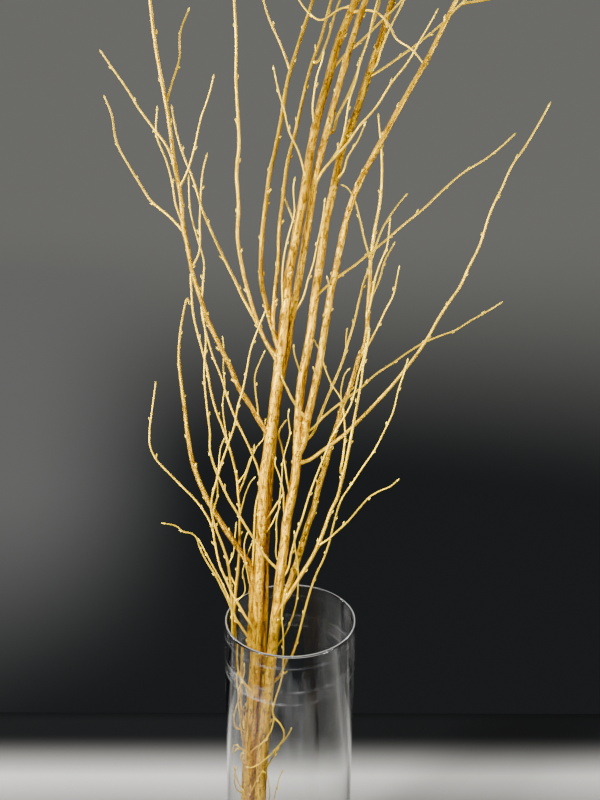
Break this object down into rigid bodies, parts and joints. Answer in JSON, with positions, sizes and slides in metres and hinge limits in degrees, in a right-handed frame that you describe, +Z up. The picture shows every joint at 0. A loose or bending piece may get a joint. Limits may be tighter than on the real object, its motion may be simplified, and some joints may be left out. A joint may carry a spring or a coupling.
{
  "type": "birch branches in a vase",
  "caption": "Bare birch branches painted gold, with side stems, fine twigs and buds, standing and fanning out of a tall clear glass cylinder vase.",
  "frame": {"origin": "middle of the vase's underside", "axes": "+Z up along the vase, -Y towards the front view, +X to the right of the front view"},
  "size_m": [0.3739, 0.1985, 1.2393],
  "materials": {
    "bark": "satin gold paint over bark",
    "glass": "clear, polished"
  },
  "bodies": {
    "root": {"vase": "glass", "branch_tall": "bark", "branch_middle": "bark", "branch_forked": "bark", "branch_side": "bark", "branch_left": "bark"}
  },
  "joints": []
}
